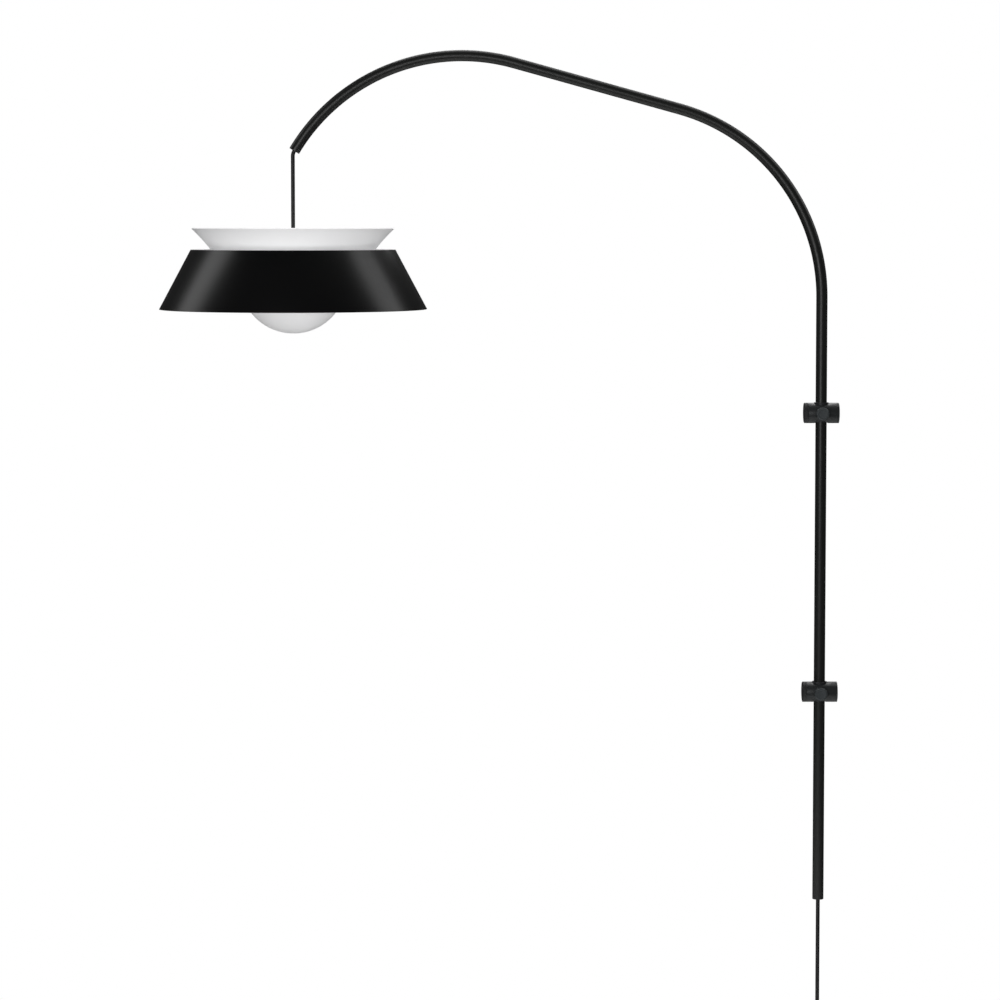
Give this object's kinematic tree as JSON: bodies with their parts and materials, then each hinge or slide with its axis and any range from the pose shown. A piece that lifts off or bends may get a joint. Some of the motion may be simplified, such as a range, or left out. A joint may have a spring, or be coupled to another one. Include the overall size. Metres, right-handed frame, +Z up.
{
  "type": "swing arm wall sconce",
  "caption": "Bent tube arm that turns and slides in wall blocks, with a white bowl and a black conical ring hung from its mouth on a cord, and a mains lead.",
  "frame": {"origin": "on the wall plane, midway between the two fixing screw holes", "axes": "+X into the wall, +Z up along the tube; the arm reaches along -X at rest"},
  "size_m": [0.9656, 0.38, 1.6329],
  "materials": {
    "block_metal": "satin anodised dark grey",
    "cap_metal": "satin anodised near black",
    "steel": "zinc plated",
    "nylon": "black nylon",
    "brass": "plain turned",
    "tube_paint": "satin black powder coat",
    "black_plastic": "moulded",
    "cord_jacket": "smooth jacket",
    "white_paint": "matt white powder coat",
    "ring_paint": "satin black outside, white inside",
    "ceramic": "glazed core",
    "opal_glass": "opal",
    "shell_metal": "pressed screw base",
    "strap": "woven hook and loop"
  },
  "bodies": {
    "wall_fixture": {"upper_base": "block_metal", "lower_base": "block_metal", "upper_block": "block_metal", "lower_block": "block_metal", "upper_end_cap": "cap_metal", "lower_end_cap": "cap_metal", "grub_screws": "steel"},
    "sleeves": {"upper_sleeve": "nylon", "lower_sleeve": "nylon"},
    "arm": {"arm_tube": "tube_paint", "foot_bushing": "black_plastic", "mouth_bushing": "black_plastic", "tube_cord": "cord_jacket", "mouth_cord": "cord_jacket", "lead_cord": "cord_jacket", "switch_cover": "black_plastic", "switch_back": "black_plastic", "switch_screws": "steel", "switch_terminals": "brass", "coil_cord": "cord_jacket", "cord_coil": "cord_jacket", "coil_tie": "strap", "tail_cord": "cord_jacket", "plug_body": "black_plastic", "plug_pins": "steel"},
    "rocker": {"switch_rocker": "black_plastic"},
    "neck": {"neck_cord": "cord_jacket"},
    "shade": {"drop_cord": "cord_jacket", "cord_grip": "black_plastic", "grip_locknut": "steel", "holder_cap": "black_plastic", "holder_body": "black_plastic", "holder_core": "ceramic", "screw_shell": "brass", "centre_contact": "brass", "ring_nut": "black_plastic", "carrier": "white_paint", "bowl": "white_paint", "shade_ring": "ring_paint", "struts": "white_paint", "strut_screws": "steel", "strut_nuts": "steel", "ring_studs": "steel", "ring_nuts": "steel", "bulb_globe": "opal_glass", "bulb_base": "shell_metal", "bulb_contact": "brass"},
    "upper_pad": {"upper_pad": "brass"},
    "upper_knob": {"upper_stud": "steel", "upper_knob": "block_metal"},
    "lower_pad": {"lower_pad": "brass"},
    "lower_knob": {"lower_stud": "steel", "lower_knob": "block_metal"}
  },
  "joints": [
    {"name": "arm_swing", "type": "hinge", "parent": "wall_fixture", "child": "sleeves", "pos_m": [-0.025, 0, 0], "axis": [0, 0, 1], "range_deg": [-75, 75]},
    {"name": "arm_height", "type": "slide", "parent": "sleeves", "child": "arm", "axis": [0, 0, 1], "range_m": [-0.145, 0.28]},
    {"name": "shade_tilt_side", "type": "hinge", "parent": "arm", "child": "neck", "pos_m": [-0.7756, 0, 0.56339], "axis": [0, 1, 0], "range_deg": [-20, 20]},
    {"name": "shade_tilt_front", "type": "hinge", "parent": "neck", "child": "shade", "pos_m": [-0.7756, 0, 0.54839], "axis": [1, 0, 0], "range_deg": [-20, 20]},
    {"name": "switch_press", "type": "hinge", "parent": "arm", "child": "rocker", "pos_m": [-0.025, -0.0045, -0.689], "axis": [1, 0, 0], "range_deg": [-16, 0]},
    {"name": "upper_pad_press", "type": "slide", "parent": "wall_fixture", "child": "upper_pad", "axis": [0, -1, 0], "range_m": [0, 0.0015]},
    {"name": "upper_knob_turn", "type": "hinge", "parent": "upper_pad", "child": "upper_knob", "pos_m": [-0.025, 0, 0.2], "axis": [0, -1, 0], "range_deg": [0, 540]},
    {"name": "lower_pad_press", "type": "slide", "parent": "wall_fixture", "child": "lower_pad", "axis": [0, -1, 0], "range_m": [0, 0.0015]},
    {"name": "lower_knob_turn", "type": "hinge", "parent": "lower_pad", "child": "lower_knob", "pos_m": [-0.025, 0, -0.2], "axis": [0, -1, 0], "range_deg": [0, 540]}
  ],
  "couplings": [
    {"joint": "upper_knob_turn", "follows": "upper_pad_press", "rad_per_m": 6283.2},
    {"joint": "lower_knob_turn", "follows": "lower_pad_press", "rad_per_m": 6283.2}
  ]
}
